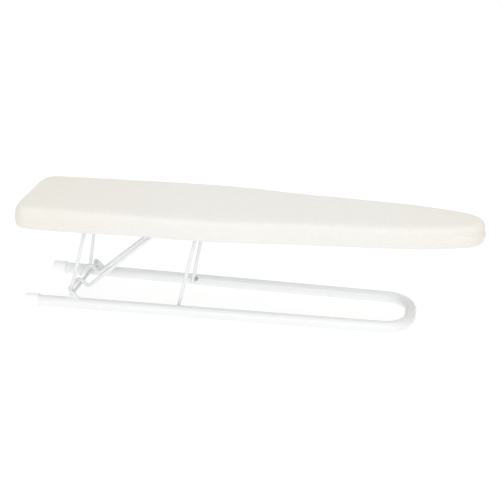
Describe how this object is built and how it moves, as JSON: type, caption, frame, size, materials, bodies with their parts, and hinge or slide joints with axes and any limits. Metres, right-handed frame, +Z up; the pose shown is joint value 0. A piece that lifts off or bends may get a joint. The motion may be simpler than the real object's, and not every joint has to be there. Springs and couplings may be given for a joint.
{
  "type": "tabletop ironing board",
  "caption": "Small tabletop ironing board: padded cloth-covered deck with a rounded nose on folding wire legs, held up by a hooked wire brace over a bent tube base.",
  "frame": {"origin": "middle of the footprint on the floor", "axes": "+X along the board from the square end to the nose, +Y towards the back, +Z up"},
  "size_m": [0.508, 0.1182, 0.1229],
  "materials": {
    "white_enamel": "gloss white enamel on steel",
    "cap_plastic": "satin moulded plastic",
    "deck_enamel": "satin enamel",
    "clip_steel": "zinc-plated strip",
    "rivet_metal": "bare",
    "pad_foam": "open foam",
    "cover_cotton": "matte cream plain-weave cotton",
    "elastic": "braided elastic"
  },
  "bodies": {
    "base": {"base_tube": "white_enamel", "end_cap_front": "cap_plastic", "end_cap_rear": "cap_plastic", "crossbar": "white_enamel", "lug_front": "white_enamel", "lug_rear": "white_enamel"},
    "left_leg": {"leg_left": "white_enamel"},
    "right_leg": {"leg_right": "white_enamel"},
    "board": {"deck": "deck_enamel", "foam_pad": "pad_foam", "cover": "cover_cotton", "elastic_cord": "elastic", "clip_leg_left": "clip_steel", "clip_leg_right": "clip_steel", "clip_brace": "clip_steel", "rivets_leg_left": "rivet_metal", "rivets_leg_right": "rivet_metal", "rivets_brace": "rivet_metal"},
    "hook_brace": {"brace": "white_enamel"}
  },
  "joints": [
    {"name": "fold", "type": "hinge", "parent": "base", "child": "left_leg", "pos_m": [-0.2, 0, 0.0075], "axis": [0, -1, 0], "range_deg": [0, 94]},
    {"name": "board_level", "type": "hinge", "parent": "left_leg", "child": "board", "pos_m": [-0.17661, 0, 0.108], "axis": [0, 1, 0], "range_deg": [0, 94]},
    {"name": "right_leg_turn", "type": "hinge", "parent": "base", "child": "right_leg", "pos_m": [-0.0734, 0, 0.0075], "axis": [0, -1, 0], "range_deg": [0, 94]},
    {"name": "brace_swing", "type": "hinge", "parent": "board", "child": "hook_brace", "pos_m": [-0.0883, 0, 0.098], "axis": [0, 1, 0], "range_deg": [0, 40.5]}
  ],
  "couplings": [
    {"joint": "board_level", "follows": "fold", "ratio": 1},
    {"joint": "right_leg_turn", "follows": "fold", "ratio": 1},
    {"joint": "brace_swing", "follows": "fold", "ratio": 0.43}
  ]
}
